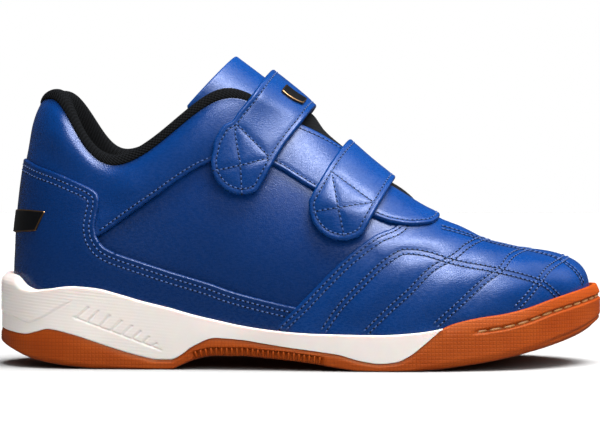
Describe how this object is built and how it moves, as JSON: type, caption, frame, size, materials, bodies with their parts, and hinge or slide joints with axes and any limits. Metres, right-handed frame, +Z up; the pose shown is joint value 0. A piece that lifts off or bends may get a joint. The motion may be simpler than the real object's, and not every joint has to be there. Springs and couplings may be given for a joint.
{
  "type": "indoor court shoe",
  "caption": "Low indoor court shoe for the right foot: leather upper with a quilted vamp, heel counter, padded collar and hook-and-loop straps, on a foam midsole and gum rubber outsole.",
  "frame": {"origin": "middle of the shoe's box in plan, at the level of the sole's flat spots", "axes": "+X towards the toe, +Y towards the inner side of the foot, +Z up"},
  "size_m": [0.1994, 0.0758, 0.102],
  "materials": {
    "outsole": "matte gum rubber",
    "midsole": "matte white foam",
    "insole": "dark sock cloth",
    "upper": "satin grained blue leather",
    "vamp": "satin grained blue leather",
    "heel_counter": "satin grained blue leather",
    "collar_panel": "satin grained blue leather",
    "collar_lining": "black ribbed knit",
    "tongue": "black padded cloth",
    "tongue_facing": "satin blue leather",
    "ankle_strap": "satin blue leather",
    "instep_strap": "satin blue leather",
    "strap_plate": "dull warm metal",
    "heel_plate": "dark satin"
  },
  "bodies": {
    "root": {"outsole": "outsole", "midsole": "midsole", "insole": "insole", "upper": "upper", "vamp": "vamp", "heel_counter": "heel_counter", "collar_panel": "collar_panel", "collar_lining": "collar_lining", "tongue": "tongue", "tongue_facing": "tongue_facing", "ankle_strap": "ankle_strap", "instep_strap": "instep_strap", "strap_plate": "strap_plate", "heel_plate": "heel_plate"}
  },
  "joints": []
}
